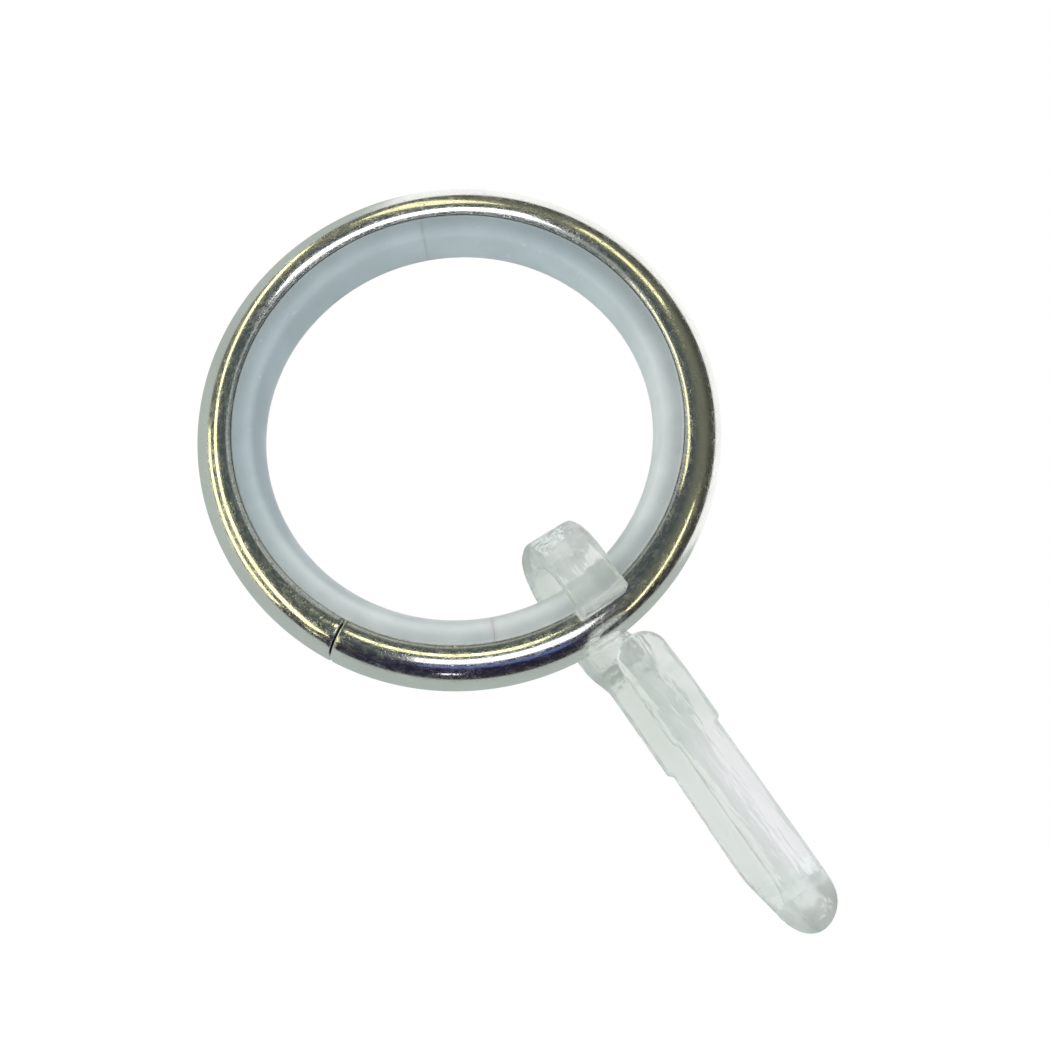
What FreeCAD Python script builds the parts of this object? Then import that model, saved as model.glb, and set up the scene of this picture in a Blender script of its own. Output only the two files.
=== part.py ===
import FreeCAD, Part
import math
import os

# Curtain ring with a clip-on pleat hook, in millimetres.
# The origin is the ring's centre and the ring's axis is Y, with the front towards -Y.
# +Z is up, and the hook hangs at the bottom of the ring.
# Angles on the ring run from +X towards +Z, anticlockwise as seen from the front.

# Metal ring, a strip rolled to a C-section that is open towards the bore
ring_outer_dia = 40.5
strip_thickness = 0.4
strip_depth = 2.85
profile_width = 5.0
crown_flat = 0.6
seam_angle = 205.6
seam_gap = 0.25
seam_edge_round = 0.12

# Glide liner, two half rings whose grooves take the strip's rolled edges
liner_depth = 2.4
liner_width = 4.4
liner_crown = 0.8
liner_corner_round = 0.3
liner_clearance = 0.05
liner_joint_angle = 63.8
liner_joint_gap = 0.05

# Hook's clip, an open loop that is loose on the ring's section
clip_clearance = 0.2
clip_back_room = 1.1
clip_thickness = 1.65
clip_headroom = 2.15
clip_top_thickness = 2.15
clip_cover = 1.0
hook_width = 4.0
hook_turn_angle = 8.0
hook_lean_angle = 2.3

# Hook's stem, behind the slot for the curtain tape
neck_drop = 0.35
neck_round = 2.2
neck_fillet = 1.2
seat_fillet = 1.2
stem_thickness = 1.6
stem_setback = 2.5
slot_width = 4.7

# Hook's prong, with a free tip that is ramped to lead into the tape
prong_thickness = 1.45
prong_tip_drop = 1.15
prong_ramp_length = 4.2
prong_ramp_depth = 0.5
prong_ramp_round = 8.0

# Hook's tail, the slimmer U below a step all round
step_drop = 10.6
prong_step_drop = 9.75
step_depth = 0.15
step_lap = 1.0
tail_width = 3.45
tail_length = 15.7
tail_splay = 0.8
tail_heel_length = 6.5
tail_heel_depth = 4.0
tail_heel_round = 3.0
tail_bottom_thickness = 3.0
tail_toe_round = 3.2
tail_heel_corner_round = 1.2
tail_nose_length = 2.8
edge_round = 0.25
front_round = 0.5

# Places that follow from the sizes
ring_outer_r = ring_outer_dia / 2
lip_r = ring_outer_r - strip_depth
bore_r = lip_r - liner_depth
roll_r = (profile_width - crown_flat) / 2
roll_centre_r = ring_outer_r - roll_r
roll_centre_y = crown_flat / 2
hook_turn = math.radians(hook_turn_angle)
clip_reach = profile_width / 2 + clip_clearance + hook_width / 2 * math.sin(hook_turn)
clip_inner = clip_reach / math.cos(hook_turn)
clip_outer = clip_inner + clip_thickness
clip_inner_back = -clip_inner - clip_back_room
clip_back = clip_inner_back - clip_thickness
clip_centre_r = (ring_outer_r + bore_r) / 2
clip_inner_top = bore_r - clip_headroom
clip_top = clip_inner_top - clip_top_thickness
clip_end = lip_r + clip_cover
neck_down = ring_outer_r + neck_drop
stem_back = clip_back + stem_setback
stem_front = stem_back + stem_thickness
prong_back = stem_front + slot_width
prong_front = prong_back + prong_thickness
tip_down = ring_outer_r + prong_tip_drop
step_down = ring_outer_r + step_drop
prong_step_down = ring_outer_r + prong_step_drop
tail_top = step_down - step_lap
tail_prong_top = prong_step_down - step_lap
tail_end = step_down + tail_length
tail_back = stem_back + step_depth
tail_front = prong_front - step_depth
heel_back = tail_back - tail_splay
heel_front = heel_back + tail_heel_depth
hook_rear = min(clip_back, heel_back)

ORIGIN = FreeCAD.Vector(0, 0, 0)
RING_AXIS = FreeCAD.Vector(0, -1, 0)
UP = FreeCAD.Vector(0, 0, 1)
TOLERANCE = 1e-5


def line(start, end):
    return Part.LineSegment(start, end).toShape()


def arc(start, middle, end):
    return Part.Arc(start, middle, end).toShape()


def face_within(edges):
    return Part.Face(Part.Wire(Part.__sortEdges__(edges)))


def rounded_face(corners):
    """Flat face through the corners, each a point and the radius that it is rounded to."""
    edges = []
    ends = []
    for i, (point, radius) in enumerate(corners):
        back = (corners[i - 1][0] - point).normalize()
        onward = (corners[(i + 1) % len(corners)][0] - point).normalize()
        half_angle = back.getAngle(onward) / 2
        run = radius / math.tan(half_angle)
        ends.append((point + back * run, point + onward * run))
        if radius > 0:
            inward = (back + onward).normalize() * (radius / math.sin(half_angle) - radius)
            edges.append(arc(ends[i][0], point + inward, ends[i][1]))
    for i in range(len(ends)):
        start = ends[i - 1][1]
        end = ends[i][0]
        if start.distanceToPoint(end) > TOLERANCE:
            edges.append(line(start, end))
    return face_within(edges)


def section_point(radius, y):
    """Point of a ring section, drawn in the XY plane."""
    return FreeCAD.Vector(radius, y, 0)


def ring_segment(face, start_angle, sweep):
    """A section turned about the ring's axis."""
    solid = face.revolve(ORIGIN, RING_AXIS, sweep)
    solid.rotate(ORIGIN, RING_AXIS, start_angle)
    return solid


def gap_angle(gap, radius):
    """Angle in degrees that a gap takes up at a radius."""
    return math.degrees(gap / radius)


def lip_half_width(roll):
    """Half width of the C-section, measured at that radius of its rolled corner, where its edges end."""
    return roll_centre_y + math.sqrt(roll ** 2 - (roll_centre_r - lip_r) ** 2)


def rolled_corner(start, roll, side):
    """Arc of the C-section from a point by its edge out to the crown, on one side."""
    half_turn = math.atan2(abs(start.y) - roll_centre_y, start.x - roll_centre_r) / 2
    middle = section_point(
        roll_centre_r + roll * math.cos(half_turn),
        side * (roll_centre_y + roll * math.sin(half_turn)),
    )
    return arc(start, middle, section_point(roll_centre_r + roll, side * roll_centre_y))


def crown_line(radius):
    return line(section_point(radius, roll_centre_y), section_point(radius, -roll_centre_y))


def circles_of_radius(solid, radius):
    """Edges that are arcs of that radius."""
    circles = [e for e in solid.Edges if isinstance(e.Curve, Part.Circle)]
    return [e for e in circles if abs(e.Curve.Radius - radius) < TOLERANCE]


def make_metal_ring():
    inner_roll = roll_r - strip_thickness
    edges = [crown_line(ring_outer_r), crown_line(ring_outer_r - strip_thickness)]
    for side in (1, -1):
        outer_lip = section_point(lip_r, side * lip_half_width(roll_r))
        inner_lip = section_point(lip_r, side * lip_half_width(inner_roll))
        edges.append(rolled_corner(outer_lip, roll_r, side))
        edges.append(line(outer_lip, inner_lip))
        edges.append(rolled_corner(inner_lip, inner_roll, side))
    gap = gap_angle(seam_gap, ring_outer_r)
    ring = ring_segment(face_within(edges), seam_angle + gap / 2, 360 - gap)
    return ring.makeFillet(seam_edge_round, circles_of_radius(ring, roll_r)).Solids[0]


def make_liner_half(start_angle):
    foot_roll = roll_r - strip_thickness - liner_clearance
    neck_y = lip_half_width(roll_r - strip_thickness) - liner_clearance
    neck_r = roll_centre_r - math.sqrt(foot_roll ** 2 - (neck_y - roll_centre_y) ** 2)
    shoulder_r = lip_r - liner_clearance
    corner_r = bore_r + liner_crown
    head_y = liner_width / 2
    edges = [
        crown_line(roll_centre_r + foot_roll),
        arc(section_point(corner_r, head_y), section_point(bore_r, 0), section_point(corner_r, -head_y)),
    ]
    for side in (1, -1):
        groove_top = section_point(neck_r, side * neck_y)
        groove_bottom = section_point(shoulder_r, side * neck_y)
        shoulder = section_point(shoulder_r, side * head_y)
        corner = section_point(corner_r, side * head_y)
        edges.append(rolled_corner(groove_top, foot_roll, side))
        edges.append(line(groove_top, groove_bottom))
        edges.append(line(groove_bottom, shoulder))
        edges.append(line(shoulder, corner))
    gap = gap_angle(liner_joint_gap, bore_r)
    half = ring_segment(face_within(edges), start_angle + gap / 2, 180 - gap)
    return half.makeFillet(liner_corner_round, circles_of_radius(half, corner_r)).Solids[0]


def hook_point(front, down, across=0.0):
    """Point of the hook, from the distances before and below the ring's centre and across."""
    return FreeCAD.Vector(across, -front, -down)


def plate(corners, width):
    """Solid with the rounded outline of a side view, that wide across."""
    solid = rounded_face(corners).extrude(FreeCAD.Vector(width, 0, 0))
    solid.translate(FreeCAD.Vector(-width / 2, 0, 0))
    return solid


def round_tip_block(tip, end, width):
    """Block over the hook's whole depth with the front view of a bar that has a round tip at the top."""
    half = width / 2
    corners = [
        (hook_point(hook_rear, tip, -half), half - edge_round),
        (hook_point(hook_rear, tip, half), half - edge_round),
        (hook_point(hook_rear, end, half), 0),
        (hook_point(hook_rear, end, -half), 0),
    ]
    return rounded_face(corners).extrude(hook_point(prong_front - hook_rear, 0))


def oval_nose_block(top, nose, width, nose_length):
    """Block over the hook's whole depth with the front view of a bar that ends in half an oval."""
    half = width / 2
    shoulder = nose - nose_length
    centre = hook_point(hook_rear, shoulder)
    right = hook_point(hook_rear, shoulder, half)
    left = hook_point(hook_rear, shoulder, -half)
    top_right = hook_point(hook_rear, top, half)
    top_left = hook_point(hook_rear, top, -half)
    if nose_length > half:
        oval = Part.Ellipse(hook_point(hook_rear, nose), right, centre)
        start = -math.pi / 2
    else:
        oval = Part.Ellipse(right, hook_point(hook_rear, nose), centre)
        start = 0
    lower_half = Part.ArcOfEllipse(oval, start, start + math.pi).toShape()
    edges = [line(left, top_left), line(top_left, top_right), line(top_right, right), lower_half]
    return face_within(edges).extrude(hook_point(prong_front - hook_rear, 0))


def upright_edges(solid, front):
    """Upright edges that lie that far to the front."""
    upright = [e for e in solid.Edges if e.BoundBox.XLength < TOLERANCE and e.BoundBox.YLength < TOLERANCE]
    return [e for e in upright if abs(e.BoundBox.YMin + front) < TOLERANCE]


def make_clip_and_stem():
    seat_down = neck_down - (stem_front - clip_inner_back)
    corners = [
        (hook_point(clip_outer, clip_end), edge_round),
        (hook_point(clip_outer, clip_top), clip_outer - edge_round),
        (hook_point(clip_back, clip_top), clip_outer - edge_round),
        (hook_point(clip_back, neck_down), neck_round),
        (hook_point(stem_back, neck_down + stem_setback), neck_fillet),
        (hook_point(stem_back, step_down), 0),
        (hook_point(stem_front, step_down), 0),
        (hook_point(stem_front, neck_down), edge_round),
        (hook_point(clip_inner_back, seat_down), seat_fillet),
        (hook_point(clip_inner_back, clip_inner_top), clip_inner - edge_round),
        (hook_point(clip_inner, clip_inner_top), clip_inner - edge_round),
        (hook_point(clip_inner, clip_end), edge_round),
    ]
    solid = plate(corners, hook_width)
    sides = [f for f in solid.Faces if f.BoundBox.XLength < TOLERANCE]
    return solid.makeFillet(edge_round, [e for f in sides for e in f.Edges])


def make_prong_end():
    corners = [
        (hook_point(prong_front, prong_step_down), 0),
        (hook_point(prong_front, tip_down + prong_ramp_length), prong_ramp_round),
        (hook_point(prong_front - prong_ramp_depth, tip_down), 0),
        (hook_point(prong_back, tip_down), 0),
        (hook_point(prong_back, prong_step_down), 0),
    ]
    solid = plate(corners, hook_width).common(round_tip_block(tip_down, prong_step_down, hook_width))
    solid = solid.makeFillet(front_round, upright_edges(solid, prong_front))
    return solid.makeFillet(edge_round, upright_edges(solid, prong_back))


def heel_run(radius):
    """Length of the flat below the slanted heel that a corner of that radius takes up."""
    return radius * math.tan(math.atan2(tail_heel_length, tail_heel_depth) / 2)


def make_tail():
    heel_down = tail_end - tail_heel_length
    slot_end = tail_end - tail_bottom_thickness
    slot_heel_back = stem_front - tail_splay
    slot_heel_front = slot_heel_back + tail_heel_depth * (slot_end - heel_down) / tail_heel_length
    slot_round = (prong_back - slot_heel_front) / (1 + heel_run(1))
    toe_round = min(tail_toe_round, tail_front - heel_front - heel_run(tail_heel_corner_round))
    corners = [
        (hook_point(tail_back, tail_top), 0),
        (hook_point(heel_back, heel_down), tail_heel_round),
        (hook_point(heel_front, tail_end), tail_heel_corner_round),
        (hook_point(tail_front, tail_end), toe_round),
        (hook_point(tail_front, tail_prong_top), 0),
        (hook_point(prong_back, tail_prong_top), 0),
        (hook_point(prong_back, slot_end), slot_round),
        (hook_point(slot_heel_front, slot_end), slot_round),
        (hook_point(slot_heel_back, heel_down), tail_heel_round),
        (hook_point(stem_front, tail_top), 0),
    ]
    solid = plate(corners, tail_width)
    solid = solid.makeFillet(front_round, upright_edges(solid, tail_front))
    solid = solid.makeFillet(edge_round, upright_edges(solid, prong_back))
    tallest = min(tail_top, tail_prong_top)
    return solid.common(oval_nose_block(tallest, tail_end, tail_width, tail_nose_length))


def make_pleat_hook():
    hook = make_clip_and_stem().fuse([make_prong_end(), make_tail()]).removeSplitter().Solids[0]
    hook.rotate(ORIGIN, UP, hook_turn_angle)
    hook.rotate(hook_point(0, clip_centre_r), RING_AXIS, -hook_lean_angle)
    return hook


parts = {
    "metal_ring": make_metal_ring(),
    "glide_liner_left": make_liner_half(liner_joint_angle),
    "glide_liner_right": make_liner_half(liner_joint_angle + 180),
    "pleat_hook": make_pleat_hook(),
}
os.makedirs("parts", exist_ok=True)
for name, solid in parts.items():
    solid.exportStep("parts/" + name + ".step")
    print(name, solid.ShapeType, "valid" if solid.isValid() else "not valid", round(solid.Volume, 2), "mm3")
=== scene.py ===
# %% [markdown]
# # A curtain ring with a clip-on pleat hook
#
# The real thing has three kinds of piece: a ring rolled from plated steel strip, a two-part plastic liner that lets
# it glide along a rod, and a clear plastic hook that is clipped loosely around it. The solids come in as a fixed
# frame, and this lesson gives them fine meshes, finishes, light and a camera.

# %% Load the frame
import math

import bmesh
import bpy
from mathutils import Matrix, Vector


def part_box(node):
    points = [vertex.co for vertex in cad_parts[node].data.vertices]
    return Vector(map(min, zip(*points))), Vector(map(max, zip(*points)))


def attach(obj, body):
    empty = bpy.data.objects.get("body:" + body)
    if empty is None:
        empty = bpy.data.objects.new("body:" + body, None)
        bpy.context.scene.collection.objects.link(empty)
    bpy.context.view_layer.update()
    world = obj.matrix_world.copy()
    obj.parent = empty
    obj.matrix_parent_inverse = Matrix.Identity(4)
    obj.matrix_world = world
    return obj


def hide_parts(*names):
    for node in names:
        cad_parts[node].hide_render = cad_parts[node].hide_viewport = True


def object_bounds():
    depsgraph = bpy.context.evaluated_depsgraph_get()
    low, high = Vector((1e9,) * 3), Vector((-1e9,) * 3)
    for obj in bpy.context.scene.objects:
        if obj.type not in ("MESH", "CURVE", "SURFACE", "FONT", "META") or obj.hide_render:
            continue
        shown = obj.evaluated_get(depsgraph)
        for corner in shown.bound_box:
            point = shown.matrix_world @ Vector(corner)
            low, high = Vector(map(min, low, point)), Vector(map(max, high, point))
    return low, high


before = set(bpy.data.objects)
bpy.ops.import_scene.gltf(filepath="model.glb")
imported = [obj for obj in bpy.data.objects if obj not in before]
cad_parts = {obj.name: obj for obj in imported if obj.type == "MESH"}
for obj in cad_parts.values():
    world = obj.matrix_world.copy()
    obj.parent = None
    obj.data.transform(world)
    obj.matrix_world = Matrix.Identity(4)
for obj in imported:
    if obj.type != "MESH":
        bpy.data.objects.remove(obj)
cad_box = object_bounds()
MM = 0.001
print("nodes:", sorted(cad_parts), "box:", [[round(v, 4) for v in corner] for corner in cad_box])

# %% [markdown]
# ## Sizes
#
# The new meshes stand exactly where the solids are, so their sizes are the solids' own. What can be read from the
# frame is read from it, and the few sizes of the rolled section are repeated here in metres.

# %% Sizes of the ring
ring_low, ring_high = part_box("metal_ring")
ring_outer_r = (ring_high.x - ring_low.x) / 2
profile_width = ring_high.y - ring_low.y
strip_thickness = 0.4 * MM
lip_depth = 2.85 * MM
lip_r = ring_outer_r - lip_depth
crown_half = 0.3 * MM
roll_r = profile_width / 2 - crown_half
roll_centre_r = ring_outer_r - roll_r
print("ring radius", round(ring_outer_r / MM, 2), "mm, section", round(profile_width / MM, 2), "mm wide")

# %% [markdown]
# ## Helpers for meshes
#
# A turned or rolled piece is half a section that is mirrored and spun. An arc of the section is itself spun from one
# vertex, so that every curve comes from an operator and no list of points is worked out by hand.

# %% Helpers for meshes
ring_axis = Vector((0, -1, 0))
across_section = Vector((0, 0, 1))
same_place = 1e-7
crease_turn = math.radians(40)


def section_arc(bm, start, centre, angle, steps):
    """Spins one vertex of the section about a centre, and returns the arc's last vertex."""
    first = bm.verts.new(start)
    made = bmesh.ops.spin(bm, geom=[first], cent=centre, axis=across_section, angle=angle, steps=steps)
    return next(v for v in made["geom_last"] if isinstance(v, bmesh.types.BMVert))


def join(bm, a, b):
    """Draws a straight line of the section between two vertices."""
    bm.edges.new((a, b))


def mirror_section(bm):
    """Adds the other half of a half section, across the ring's mid-plane."""
    half = bm.verts[:] + bm.edges[:]
    bmesh.ops.mirror(bm, geom=half, matrix=Matrix.Identity(4), axis="Y", merge_dist=0)
    bmesh.ops.remove_doubles(bm, verts=bm.verts, dist=same_place)


def close_crown(bm, radius):
    """Joins the two halves of a section across the flat crown, at that radius."""
    join(bm, *[v for v in bm.verts
               if abs(v.co.x - radius) < same_place and abs(abs(v.co.y) - crown_half) < same_place])


def spin_ring(bm, start_angle, sweep, steps):
    """Turns the whole section about the ring's axis, closes its two ends and returns their faces."""
    bmesh.ops.rotate(bm, verts=bm.verts, cent=(0, 0, 0), matrix=Matrix.Rotation(start_angle, 3, ring_axis))
    section = bm.verts[:] + bm.edges[:]
    bmesh.ops.spin(bm, geom=section, cent=(0, 0, 0), axis=ring_axis, angle=sweep, steps=steps)
    open_edges = [e for e in bm.edges if e.is_boundary]
    ends = bmesh.ops.edgeloop_fill(bm, edges=open_edges)["faces"]
    bmesh.ops.recalc_face_normals(bm, faces=bm.faces)
    return ends


def round_edges(bm, edges, offset, segments):
    """Rounds edges with a bevel that is an arc in section."""
    bmesh.ops.bevel(bm, geom=edges, offset=offset, segments=segments, profile=0.5, affect="EDGES", material=-1)


def finished_piece(name, bm, sharp_angle):
    """Makes the object, smooth but for edges that turn by more than an angle."""
    mesh = bpy.data.meshes.new(name)
    bm.to_mesh(mesh)
    bm.free()
    mesh.shade_smooth()
    mesh.set_sharp_from_angle(angle=sharp_angle)
    piece = bpy.data.objects.new(name, mesh)
    bpy.context.scene.collection.objects.link(piece)
    print(name, len(mesh.polygons), "faces")
    return piece


# %% [markdown]
# ## The rolled metal ring
#
# The strip's edges are rolled inwards to a C, and the C is bent to a ring whose ends meet in a butt seam. The section
# is drawn as two rolled walls, mirrored, spun almost all the way round and closed, and the rims of the seam are
# bevelled, because sheared strip has a slightly dubbed edge that catches the light. The seam is as narrow as it looks
# on the real ring, which is a little narrower than in the solid.

# %% Rolled metal ring
seam_angle = math.radians(205.6)
seam_gap = 0.17 * MM
seam_edge_round = 0.12 * MM
seam_edge_steps = 3
ring_steps = 300
outer_roll_steps = 28
inner_roll_steps = 8
inner_roll_r = roll_r - strip_thickness
roll_centre = Vector((roll_centre_r, crown_half, 0))


def roll_to_lip(bm, radius, steps):
    """One wall of the rolled strip, from the crown to the lip."""
    turn = math.pi / 2 + math.asin((roll_centre_r - lip_r) / radius)
    return section_arc(bm, roll_centre + Vector((radius, 0, 0)), roll_centre, turn, steps)


ring_bm = bmesh.new()
outer_lip = roll_to_lip(ring_bm, roll_r, outer_roll_steps)
inner_lip = roll_to_lip(ring_bm, inner_roll_r, inner_roll_steps)
join(ring_bm, outer_lip, inner_lip)
mirror_section(ring_bm)
close_crown(ring_bm, ring_outer_r)
close_crown(ring_bm, ring_outer_r - strip_thickness)
seam_turn = seam_gap / ring_outer_r
seam_ends = spin_ring(ring_bm, seam_angle + seam_turn / 2, 2 * math.pi - seam_turn, ring_steps)
seam_rims = [e for face in seam_ends for e in face.edges]
round_edges(ring_bm, seam_rims, seam_edge_round, seam_edge_steps)
metal_ring = finished_piece("rolled_ring", ring_bm, crease_turn)
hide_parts("metal_ring")
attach(metal_ring, "ring")

# %% [markdown]
# ## The glide liner
#
# Two moulded halves sit in the ring's channel and stand inwards of the strip's edges. Each has a foot in the channel,
# a groove for the edge, flat flanks and a bore that is crowned so that the ring rocks along the rod. One half is
# spun from its section and the other is the same section, started half a turn further on. The bevel on the corner of
# the bore ends a hair past the crown's next line, so the two lines are welded, which leaves no slivers in the mesh.

# %% Glide liner
liner_clearance = 0.05 * MM
liner_half_width = 2.2 * MM
liner_crown = 0.8 * MM
liner_depth = 2.4 * MM
liner_corner_round = 0.3 * MM
liner_corner_steps = 4
liner_weld_gap = 0.002 * MM
liner_joint_angle = math.radians(63.8)
liner_joint_gap = 0.004 * MM
liner_arc_steps = 8
liner_steps = 150
bore_r = lip_r - liner_depth
corner_r = bore_r + liner_crown
shoulder_r = lip_r - liner_clearance


def liner_half(name, start_angle):
    """One half of the liner, from a mirrored half section."""
    bm = bmesh.new()
    crown_r = (liner_half_width ** 2 + liner_crown ** 2) / (2 * liner_crown)
    crown_turn = math.asin(liner_half_width / crown_r)
    corner = section_arc(bm, (bore_r, 0, 0), (bore_r + crown_r, 0, 0), -crown_turn, liner_arc_steps)
    foot_r = inner_roll_r - liner_clearance
    neck_y = crown_half + math.sqrt(inner_roll_r ** 2 - (roll_centre_r - lip_r) ** 2) - liner_clearance
    neck_turn = math.pi - math.asin((neck_y - crown_half) / foot_r)
    neck = section_arc(bm, roll_centre + Vector((foot_r, 0, 0)), roll_centre, neck_turn, liner_arc_steps)
    shoulder = bm.verts.new((shoulder_r, liner_half_width, 0))
    groove = bm.verts.new((shoulder_r, neck_y, 0))
    for a, b in ((corner, shoulder), (shoulder, groove), (groove, neck)):
        join(bm, a, b)
    mirror_section(bm)
    close_crown(bm, roll_centre_r + foot_r)
    joint_turn = liner_joint_gap / bore_r
    spin_ring(bm, start_angle + joint_turn / 2, math.pi - joint_turn, liner_steps)
    rims = [e for e in bm.edges if all(abs(math.hypot(v.co.x, v.co.z) - corner_r) < same_place for v in e.verts)]
    round_edges(bm, rims, liner_corner_round, liner_corner_steps)
    bmesh.ops.remove_doubles(bm, verts=bm.verts, dist=liner_weld_gap)
    return finished_piece(name, bm, crease_turn)


liner_halves = []
for side, angle in (("left", liner_joint_angle), ("right", liner_joint_angle + math.pi)):
    piece = liner_half("liner_half_" + side, angle)
    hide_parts("glide_liner_" + side)
    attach(piece, "ring")
    liner_halves.append(piece)

# %% [markdown]
# ## The pleat hook
#
# The hook is one moulding: a clip that hangs over the ring, a stem, and a free prong that the curtain tape slips over.
# Its solid is exact but has hard facets, which clear plastic would show as sparkle. A copy is therefore remeshed into
# a fine even skin and relaxed a little, which gives it the soft edges of a moulding and leaves its shape alone.

# %% Pleat hook
hook_voxel = 0.11 * MM
hook_relax_steps = 5
hook_relax_share = 0.5
no_crease = math.pi


def even_skin(name, source, voxel):
    """A copy of a mesh, merged and remeshed into small even faces."""
    bm = bmesh.new()
    bm.from_mesh(source.data)
    bmesh.ops.remove_doubles(bm, verts=bm.verts, dist=voxel / 100)
    blank = finished_piece(name, bm, no_crease)
    remesh = blank.modifiers.new("even_skin", "REMESH")
    remesh.mode = "VOXEL"
    remesh.voxel_size = voxel
    skin = bpy.data.meshes.new_from_object(blank.evaluated_get(bpy.context.evaluated_depsgraph_get()))
    bpy.data.objects.remove(blank)
    return skin


hook_bm = bmesh.new()
hook_bm.from_mesh(even_skin("hook_blank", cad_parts["pleat_hook"], hook_voxel))
for _ in range(hook_relax_steps):
    bmesh.ops.smooth_vert(
        hook_bm, verts=hook_bm.verts, factor=hook_relax_share, use_axis_x=True, use_axis_y=True, use_axis_z=True)
hook = finished_piece("moulded_hook", hook_bm, no_crease)
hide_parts("pleat_hook")
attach(hook, "hook")

# %% [markdown]
# ## Shader maths as Python
#
# A finish is a graph of nodes, and graphs are hard to read as lists of links. A wire wraps one output socket, and its
# operators add Math nodes, so that a mask is written as a sum.

# %% Shader maths as Python
class Wire:
    """An output socket that takes part in expressions as a number does."""

    def __init__(self, graph, socket):
        self.graph = graph
        self.socket = socket

    def math(self, operation, a, b):
        """A Math node on two values, of which either may be a plain number."""
        return self.graph.node("ShaderNodeMath", {"operation": operation}, {0: a, 1: b})

    def __add__(self, other):
        return self.math("ADD", self, other)

    def __radd__(self, other):
        return self.math("ADD", other, self)

    def __sub__(self, other):
        return self.math("SUBTRACT", self, other)

    def __rsub__(self, other):
        return self.math("SUBTRACT", other, self)

    def __mul__(self, other):
        return self.math("MULTIPLY", self, other)

    def __rmul__(self, other):
        return self.math("MULTIPLY", other, self)

    def __truediv__(self, other):
        return self.math("DIVIDE", self, other)

    def __rtruediv__(self, other):
        return self.math("DIVIDE", other, self)

    def __pow__(self, other):
        return self.math("POWER", self, other)

    def __rpow__(self, other):
        return self.math("POWER", other, self)


# %% [markdown]
# ## Every other node
#
# All other nodes come from one method, which takes the node's type, its settings and its sockets. The few that every
# finish needs have short names of their own. A Mix node shows only the sockets of its data type but numbers all of
# them, so the numbers of its colour sockets are named here.

# %% Every other node
mix_factor, mix_a, mix_b, mix_result = 0, 6, 7, 2


class Graph:
    """The nodes of one material or of the world."""

    def __init__(self, owner):
        owner.use_nodes = True
        self.owner = owner
        self.tree = owner.node_tree
        self.tree.nodes.clear()

    def node(self, kind, settings=None, sockets=None, output=0):
        """Adds a node, sets its settings first and then the values or links of its sockets."""
        made = self.tree.nodes.new(kind)
        for key, value in (settings or {}).items():
            setattr(made, key, value)
        for key, value in (sockets or {}).items():
            if isinstance(value, Wire):
                self.tree.links.new(value.socket, made.inputs[key])
            else:
                made.inputs[key].default_value = value
        return Wire(self, made.outputs[output]) if made.outputs else None

    def place(self):
        """The point on the piece, in the piece's own frame."""
        return self.node("ShaderNodeTexCoord", output="Object")

    def split(self, vector):
        """The x, y and z of a vector."""
        outputs = self.node("ShaderNodeSeparateXYZ", None, {0: vector}).socket.node.outputs
        return [Wire(self, output) for output in outputs]

    def dot(self, vector, axis):
        """How far a vector reaches along an axis."""
        return self.node("ShaderNodeVectorMath", {"operation": "DOT_PRODUCT"}, {0: vector, 1: axis}, "Value")

    def mix(self, factor, a, b):
        """A colour between two colours."""
        sockets = {mix_factor: factor, mix_a: a, mix_b: b}
        return self.node("ShaderNodeMix", {"data_type": "RGBA"}, sockets, mix_result)

    def ramp(self, value, low, high):
        """A value taken from 0 at low to 1 at high, smoothly."""
        settings = {"interpolation_type": "SMOOTHSTEP", "clamp": True}
        return self.node("ShaderNodeMapRange", settings, {"Value": value, "From Min": low, "From Max": high})

    def noise(self, vector, scale, detail=2.0, roughness=0.5):
        """Soft noise from 0 to 1, with that many waves to the metre."""
        sockets = {"Vector": vector, "Scale": scale, "Detail": detail, "Roughness": roughness}
        return self.node("ShaderNodeTexNoise", None, sockets)

    def surface(self, shader):
        """Ends the material with a shader and returns it."""
        self.node("ShaderNodeOutputMaterial", None, {"Surface": shader})
        return self.owner


def ring_radius(x, z):
    """The distance from the ring's axis."""
    return (x * x + z * z) ** 0.5


def dress(piece, material):
    """Gives a piece its one material."""
    piece.data.materials.clear()
    piece.data.materials.append(material)
    print(piece.name, "wears", material.name, "of", len(material.node_tree.nodes), "nodes")


# %% [markdown]
# ## Bright plating
#
# The strip is plated a warm nickel colour and mirrors the room. Rolling left it with tiny pits, which catch stray
# light as specks, and with a slow wave that makes the long reflections waver. Both are bump from noise. The plating
# is a little hazy as well, so a share of it is rougher and gives each bright streak a soft halo. The haze lies in
# fine lines that were drawn along the strip, so its noise is stretched along the angle round the ring. The angle
# jumps at one place only, at the bottom, where the hook hangs.

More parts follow.
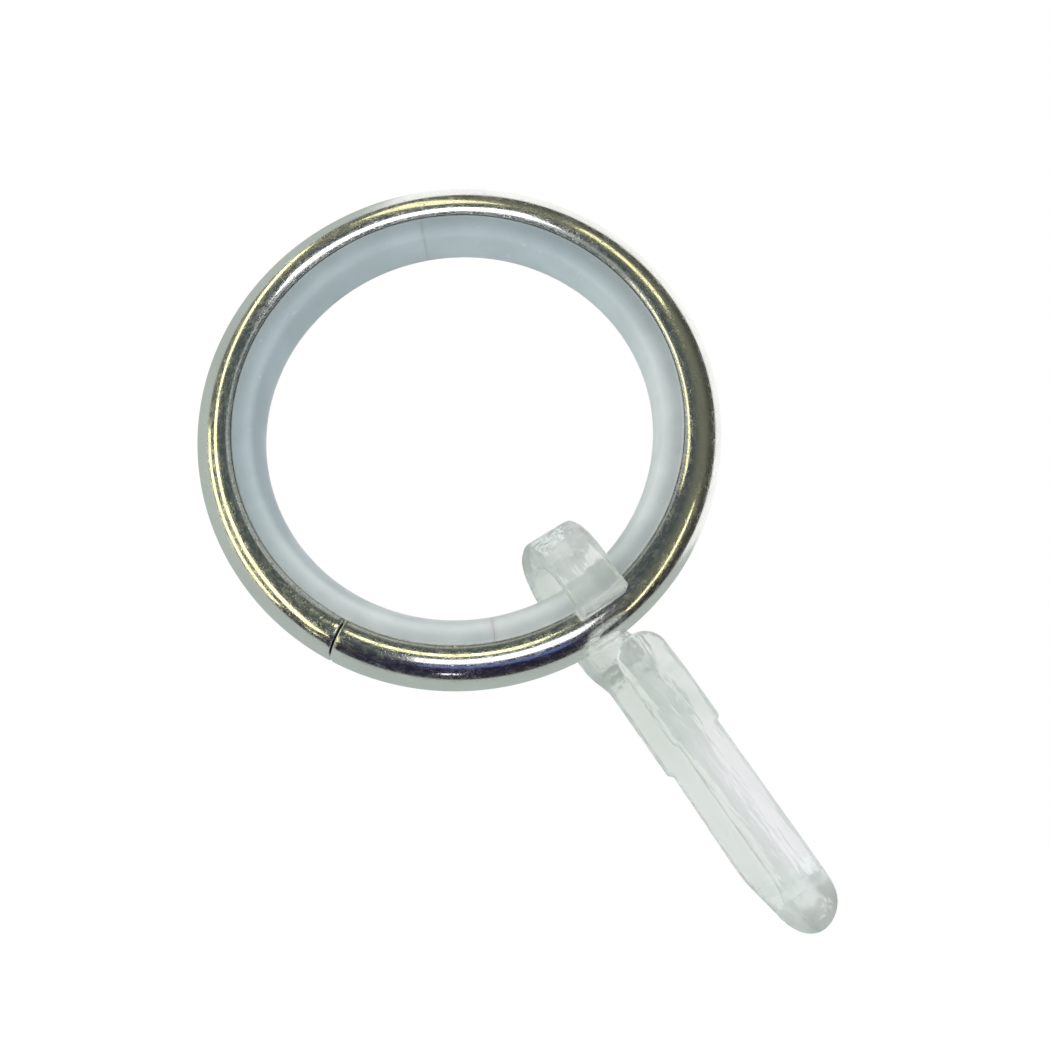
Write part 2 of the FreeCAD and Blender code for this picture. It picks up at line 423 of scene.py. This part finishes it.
# %% Bright plating
def plated_finish():
    """Nickel plating with pits and waves in its skin, and haze in lines along the strip."""
    pit_scale, cloud_scale, wave_scale, grain_scale = 6500.0, 900.0, 300.0, 4500.0
    grain_stretch = 0.4
    skin_depth = 0.04 * MM
    dull_nickel, clean_nickel = (0.90, 0.90, 0.87, 1), (0.95, 0.95, 0.92, 1)
    bright_roughness, hazy_roughness = 0.09, 0.32

    graph = Graph(bpy.data.materials.new("bright_plating"))
    place = graph.place()
    x, y, z = graph.split(place)
    pits = graph.ramp(graph.noise(place, pit_scale, 2.0, 0.6), 0.53, 0.69)
    clouds = graph.ramp(graph.noise(place, cloud_scale), 0.4, 0.7)
    waves = graph.noise(place, wave_scale, 1.0)
    length = x.math("ARCTAN2", x, z) * roll_centre_r
    strip = graph.node("ShaderNodeCombineXYZ", None, {0: length * grain_stretch, 1: ring_radius(x, z), 2: y})
    grain = graph.ramp(graph.noise(strip, grain_scale), 0.4, 0.65)
    height = waves - pits * (0.08 + clouds * 0.2)
    bump = graph.node("ShaderNodeBump", None, {"Strength": 0.45, "Distance": skin_depth, "Height": height})
    colour = graph.mix(graph.ramp(waves, 0.35, 0.65), dull_nickel, clean_nickel)

    def metal(roughness):
        return graph.node("ShaderNodeBsdfPrincipled", None, {
            "Base Color": colour, "Metallic": 1.0, "Roughness": roughness, "Normal": bump})

    bright = metal(bright_roughness + pits * clouds * 0.2)
    hazy = metal(hazy_roughness)
    haze = 0.08 + grain * (0.3 + clouds * 0.2)
    return graph.surface(graph.node("ShaderNodeMixShader", None, {0: haze, 1: bright, 2: hazy}))


dress(metal_ring, plated_finish())

# %% [markdown]
# ## Milky liner plastic
#
# The liner is a cloudy plastic with a blue-grey tint. Light goes a little way into it, so it has a subsurface part
# of its own depth. Its colour carries painted shade, darker towards the metal that backs it and in the bore, so it is
# paler on its corner, and a painted highlight on its rim, so the tone follows the radius. It is painted paler, as
# painted light, towards the side where the hook hangs and darker, as painted shade, above, so the tone follows the
# height. Its foot in the channel is painted near black as shade, so that the ring's seam shows as a dark line.
# Moulding and sliding left the liner faintly uneven and scuffed.

# %% Milky liner plastic
def liner_finish():
    """Cloudy plastic with painted shade and painted light that follow the radius and the height."""
    cloud_scale, scuff_scale, fine_scale = 380.0, 1500.0, 3000.0
    # The plastic's tint in painted light and in painted shade, then the tone of the painted shade
    tint_in_painted_light, tint_in_painted_shade = (0.85, 0.89, 0.87, 1), (0.56, 0.65, 0.68, 1)
    painted_shade_tone, scuffed_tone = (0.28, 0.34, 0.36, 1), (0.80, 0.84, 0.84, 1)
    # Painted shade: the foot in the channel is painted near black
    foot_shade_tone = (0.01, 0.012, 0.014, 1)
    skin_depth = 0.03 * MM

    graph = Graph(bpy.data.materials.new("milky_plastic"))
    place = graph.place()
    x, _, z = graph.split(place)
    radius = ring_radius(x, z)
    clouds = graph.ramp(graph.noise(place, cloud_scale, 3.0), 0.3, 0.7)
    scuffs = graph.ramp(graph.noise(place, scuff_scale, 4.0, 0.7), 0.62, 0.75)
    fine = graph.noise(place, fine_scale)
    # Painted shade towards the metal and in the bore, and a painted highlight on the rim; the clouds are the plastic's
    # own uneven tone
    shade_near_metal = graph.ramp(radius, corner_r + 0.2 * MM, lip_r - 0.5 * MM)
    rim_highlight = graph.ramp(radius, lip_r - 0.3 * MM, lip_r - 0.1 * MM)
    shade_in_bore = graph.ramp(radius, corner_r, corner_r - 0.3 * MM)
    foot_shade = graph.ramp(radius, lip_r + 0.1 * MM, lip_r + 0.4 * MM)
    painted_shade_and_clouds = shade_near_metal * 0.34 + shade_in_bore * 0.08 - rim_highlight * 0.35 + clouds * 0.15
    # Painted light below, towards the hook, and painted shade above
    colour = graph.mix(graph.ramp(z, -12 * MM, 8 * MM), tint_in_painted_light, tint_in_painted_shade)
    colour = graph.mix(painted_shade_and_clouds, colour, painted_shade_tone)
    colour = graph.mix(scuffs * 0.5, colour, scuffed_tone)
    # The foot in the channel gets its painted shade
    colour = graph.mix(foot_shade, colour, foot_shade_tone)
    height = fine + scuffs * 0.3
    bump = graph.node("ShaderNodeBump", None, {"Strength": 0.2, "Distance": skin_depth, "Height": height})
    shader = graph.node("ShaderNodeBsdfPrincipled", None, {
        "Base Color": colour, "Roughness": 0.34 + clouds * 0.12, "Normal": bump,
        "Subsurface Weight": 0.4, "Subsurface Scale": 1 * MM, "Subsurface Radius": (0.8, 1.0, 1.0), "IOR": 1.5})
    return graph.surface(shader)


milky_plastic = liner_finish()
for piece in liner_halves:
    dress(piece, milky_plastic)

# %% [markdown]
# ## Clear hook plastic
#
# The hook is a soft clear plastic with a faint green-grey tint. It isn't as clear as glass: its skin is satin and its
# inside a little cloudy, so most of it lets light through a rough skin, and a share of it scatters the light. The melt
# ran along the hook, so its streaks are stretched that way. The tint is deeper along one side, in the wrinkled upper
# part and in the solid end, and the middle is the clearest.

# %% Clear hook plastic
def hook_finish():
    """Clear satin plastic, tinted where it is thick or wrinkled."""
    flow_scale, ripple_scale, wrinkle_scale = 600.0, 1700.0, 420.0
    flow_stretch = (1.0, 1.0, 0.15)
    across_hook = (1, 0, -0.02)
    tinted_plastic, clear_plastic = (0.79, 0.84, 0.795, 1), (0.985, 0.99, 1.0, 1)
    skin_depth = 0.2 * MM

    graph = Graph(bpy.data.materials.new("clear_plastic"))
    place = graph.place()
    z = graph.split(place)[2]
    stretched = graph.node("ShaderNodeMapping", None, {"Vector": place, "Scale": flow_stretch})
    flow = graph.ramp(graph.noise(stretched, flow_scale, 3.0), 0.35, 0.65)
    ripple = graph.noise(stretched, ripple_scale, 3.0)
    wrinkles = graph.noise(place, wrinkle_scale)
    upper = graph.ramp(z, -32 * MM, -28 * MM)
    cloudy = upper * graph.ramp(wrinkles, 0.45, 0.62)
    thin = graph.ramp(graph.dot(place, across_hook), -1.3 * MM, 0.2 * MM)
    solid_end = graph.ramp(z, -41 * MM, -45 * MM)
    clearness = flow * 0.3 + thin * 0.7 - upper * 0.25 - cloudy * 0.5 - solid_end * 0.5
    colour = graph.mix(clearness, tinted_plastic, clear_plastic)
    height = ripple + upper * wrinkles * 3.0
    bump = graph.node("ShaderNodeBump", None, {"Strength": 1.0, "Distance": skin_depth, "Height": height})
    shader = graph.node("ShaderNodeBsdfPrincipled", None, {
        "Base Color": colour, "Roughness": 0.16 + flow * 0.08, "Normal": bump,
        "Transmission Weight": 0.77, "IOR": 1.4})
    return graph.surface(shader)


dress(hook, hook_finish())

# %% [markdown]
# ## Camera
#
# The photograph looks at the ring from a little below its axis, with the ring rolled so that the hook points to the
# lower right. The ring's normal, its roll and its place in the view were measured on its two ellipses. The camera is
# moved around the part, because the part keeps the frame it was built in.

# %% Camera
photo_size = 1050
focal_px = 2197
camera_distance = 170 * MM
ring_normal = Vector((-0.04, 0.292, 1)).normalized()
ring_roll = math.radians(36.2)
ring_in_view = Vector((-5.12, 7.1, 0)) * MM
level = (Vector((1, 0, 0)) - ring_normal.x * ring_normal).normalized()
rise = ring_normal.cross(level)
part_x = math.cos(ring_roll) * level + math.sin(ring_roll) * rise
part_z = math.cos(ring_roll) * rise - math.sin(ring_roll) * level
part_in_view = Matrix((part_x, -ring_normal, part_z))
camera_place = part_in_view @ (Vector((0, 0, camera_distance)) - ring_in_view)
camera_data = bpy.data.cameras.new("camera")
camera_data.sensor_width = 36
camera_data.lens = focal_px / photo_size * camera_data.sensor_width
camera_data.clip_start = 5 * MM
camera = bpy.data.objects.new("camera", camera_data)
camera.matrix_world = Matrix.Translation(camera_place) @ part_in_view.to_4x4()
bpy.context.scene.collection.objects.link(camera)
bpy.context.scene.camera = camera
print("camera at", [round(v / MM, 1) for v in camera_place], "mm")

# %% [markdown]
# ## The room
#
# Polished metal shows the room, so the room matters as much as the lamps. Mirrored rays see a dim room in front, darker
# below and darkest beside the backdrop, and a pale backdrop behind the ring that is lit on its upper right. The camera
# and the clear plastic see plain white, and everything else gets an even, slightly cool soft light.

# %% The room
white = (1, 1, 1, 1)
soft_light = (0.62, 0.65, 0.67, 1)
backdrop_shade = (0.43, 0.475, 0.455, 1)
room_wall, room_middle, room_floor = (0.14, 0.145, 0.105, 1), (0.05, 0.065, 0.07, 1), (0.015, 0.012, 0.035, 1)
room_edge = (0.03, 0.032, 0.028, 1)
# A hair over 1, so that the root of what is left of it stays real
just_over_one = 1.0005


def view_direction(right, up, towards):
    """A direction given by the camera's own axes, in the part's frame."""
    return (part_in_view @ Vector((right, up, towards))).normalized()


world = bpy.data.worlds.new("studio")
bpy.context.scene.world = world
studio = Graph(world)
ray_direction = studio.node("ShaderNodeTexCoord", output="Generated")
right = studio.dot(ray_direction, view_direction(1, 0, 0))
up = studio.dot(ray_direction, view_direction(0, 1, 0))
towards = studio.dot(ray_direction, view_direction(0, 0, 1))
sideways = (just_over_one - towards * towards) ** 0.5
backdrop_lit = studio.ramp((right * 0.73 + up * 0.68) / sideways, 0.38, 0.5)
backdrop_tone = studio.mix(backdrop_lit, backdrop_shade, white)
depth = 0.03 - right * 0.25 - up * 0.14 - towards
room_tone = studio.mix(studio.ramp(towards - right * 0.4, 0.5, 0.85), room_wall, room_middle)
room_tone = studio.mix(studio.ramp(up, -0.6, 0.1), room_floor, room_tone)
room_tone = studio.mix(studio.ramp(depth + right * 0.35, -0.55, -0.05) * 0.75, room_tone, room_edge)
mirrored = studio.mix(studio.ramp(depth, -0.06, 0.06), room_tone, backdrop_tone)
seen = studio.mix(studio.node("ShaderNodeLightPath", output="Is Glossy Ray"), soft_light, mirrored)
for plain_ray in ("Is Transmission Ray", "Is Camera Ray"):
    seen = studio.mix(studio.node("ShaderNodeLightPath", output=plain_ray), seen, white)
background = studio.node("ShaderNodeBackground", None, {"Color": seen, "Strength": 1.0})
studio.node("ShaderNodeOutputWorld", None, {"Surface": background})
print("room of", len(studio.tree.nodes), "nodes")

# %% [markdown]
# ## Lamps for the reflections
#
# Each long streak on the ring is a lamp that the ring mirrors. To hang a lamp for a streak, the line of sight is
# followed to the ring, turned back by the ring's own normal, and the lamp hangs a little way along it. The angle round
# the ring is given as the picture shows it, anticlockwise from the right, and the angle on the rolled section counts
# outwards from the ring's front. These lamps only show in mirrored rays, so the plastics keep their plain light.

# %% Lamps for the reflections
ring_front = Vector((0, -1, 0))


def mirrored_place(distance, ring_angle, roll_angle):
    """Where the line of sight goes after the rolled ring has turned it back."""
    turn = math.radians(ring_angle) - ring_roll
    outwards = Vector((math.cos(turn), 0, math.sin(turn)))
    normal = outwards * math.sin(math.radians(roll_angle)) + ring_front * math.cos(math.radians(roll_angle))
    point = outwards * roll_centre_r + ring_front * crown_half + normal * roll_r
    sight = (point - camera_place).normalized()
    return point + sight.reflect(normal) * distance


def panel_lamp(name, centre, along_panel, size, radiance, colour):
    """A rectangular lamp that faces the part, with its glow given as it looks."""
    data = bpy.data.lights.new(name, "AREA")
    data.shape = "RECTANGLE"
    data.size, data.size_y = size
    data.energy = radiance * math.pi * data.size * data.size_y
    data.color = colour
    lamp = bpy.data.objects.new(name, data)
    away = centre.normalized()
    length = (along_panel - away * along_panel.dot(away)).normalized()
    lamp.matrix_world = Matrix((length, away.cross(length), away)).transposed().to_4x4()
    lamp.matrix_world.translation = centre
    lamp.visible_camera = False
    bpy.context.scene.collection.objects.link(lamp)
    return lamp


def streak_lamp(name, distance, first, last, spread, radiance, colour):
    """A strip lamp that the ring mirrors from one place to another, as wide as an angle on the roll."""
    start = mirrored_place(distance, *first)
    end = mirrored_place(distance, *last)
    size = ((end - start).length, 2 * distance * math.radians(spread))
    lamp = panel_lamp(name, (start + end) / 2, end - start, size, radiance, colour)
    lamp.visible_diffuse = False
    lamp.visible_transmission = False
    print(name, [round(side / MM, 1) for side in size], "mm")


# %% [markdown]
# ## The streaks
#
# Warm strips run down the left and under the ring, pale windows stand above and below, and a few small spots catch the
# outer edge. Two weak, cool lamps give the inner lip its faint glow. Each lamp is given by its distance from the ring,
# the two ends of its streak, the streak's width on the roll, its glow and its colour.

# %% The streaks
near = 18 * MM
far = 60 * MM
gold = (1.0, 0.97, 0.55)
daylight = (1.0, 1.0, 1.0)
cool_light = (0.87, 0.94, 1.0)
sky_blue = (0.25, 0.4, 1.0)
streak_lamp("left_strip_high", far, (130, 22), (172, 12), 4, 1.9, gold)
streak_lamp("left_strip_low", far, (172, 12), (238, 29), 5, 1.9, gold)
streak_lamp("left_strip_outer", far, (180, 25), (226, 36), 5, 1.8, gold)
streak_lamp("low_strip", far, (243, 4), (292, 6), 5, 1.9, gold)
streak_lamp("low_window", far, (260, 16), (302, 22), 9, 1.6, daylight)
streak_lamp("low_sky", far, (262, 25), (296, 34), 5, 0.3, sky_blue)
streak_lamp("high_window", near, (68, -4), (140, -4), 9, 2.0, daylight)
streak_lamp("ceiling_lamp", far, (85, 6), (108, 16), 7, 1.2, gold)
streak_lamp("ceiling_lamp_right", far, (30, 13), (59, 13), 6, 1.2, gold)
streak_lamp("right_strip", near, (-15, -5), (40, -12), 4, 1.7, gold)
streak_lamp("low_right_strip", far, (311, 42), (340, 28), 3, 1.9, gold)
streak_lamp("bore_glow_left", far, (195, -13), (245, -13), 9, 0.25, cool_light)
streak_lamp("bore_glow_low", far, (245, -13), (300, -13), 10, 0.38, cool_light)
streak_lamp("low_spot", far, (267, 41), (271, 41), 3, 1.6, daylight)
streak_lamp("seam_spot", far, (235, 37), (238, 37), 3, 1.4, gold)

# %% [markdown]
# ## The fill lamp
#
# The plastics would look flat in the even light of the room alone. One broad, faintly warm panel in front, low and to
# the left, gives them a lit side. The metal doesn't mirror it, because it would add a streak.

# %% The fill lamp
fill_place = part_in_view @ (Vector((-40, -22, 36)) * MM)
fill_size = (60 * MM, 50 * MM)
fill_glow = 1.5
warm_light = (1.0, 0.96, 0.88)
fill = panel_lamp("fill", fill_place, view_direction(1, 0, 0), fill_size, fill_glow, warm_light)
fill.visible_glossy = False
print(len(bpy.data.lights), "lamps")

# %% [markdown]
# ## Floor
#
# The part hangs free, so a plain pale floor lies a little way below it. It takes the part's shadow, and a faint glow
# that only the camera and the clear plastic see lifts it to the white of the background.

# %% Floor
floor_drop = 30 * MM
floor_size = 3.0
floor_paint = (0.93, 0.93, 0.93, 1)
floor_glow = 0.55
floor_bm = bmesh.new()
bmesh.ops.create_grid(floor_bm, x_segments=1, y_segments=1, size=floor_size / 2)
bmesh.ops.translate(floor_bm, verts=floor_bm.verts, vec=(0, 0, cad_box[0].z - floor_drop))
floor = finished_piece("floor", floor_bm, crease_turn)
floor.visible_glossy = False
floor_graph = Graph(bpy.data.materials.new("pale_floor"))
seen_plainly = (floor_graph.node("ShaderNodeLightPath", output="Is Camera Ray")
                + floor_graph.node("ShaderNodeLightPath", output="Is Transmission Ray"))
paint = floor_graph.node("ShaderNodeBsdfDiffuse", None, {"Color": floor_paint})
glow = floor_graph.node("ShaderNodeEmission", None, {"Color": white, "Strength": seen_plainly * floor_glow})
dress(floor, floor_graph.surface(floor_graph.node("ShaderNodeAddShader", None, {0: paint, 1: glow})))

# %% [markdown]
# ## End
#
# The picture uses the plain Standard view transform.

# %% End
bpy.context.scene.view_settings.view_transform = "Standard"
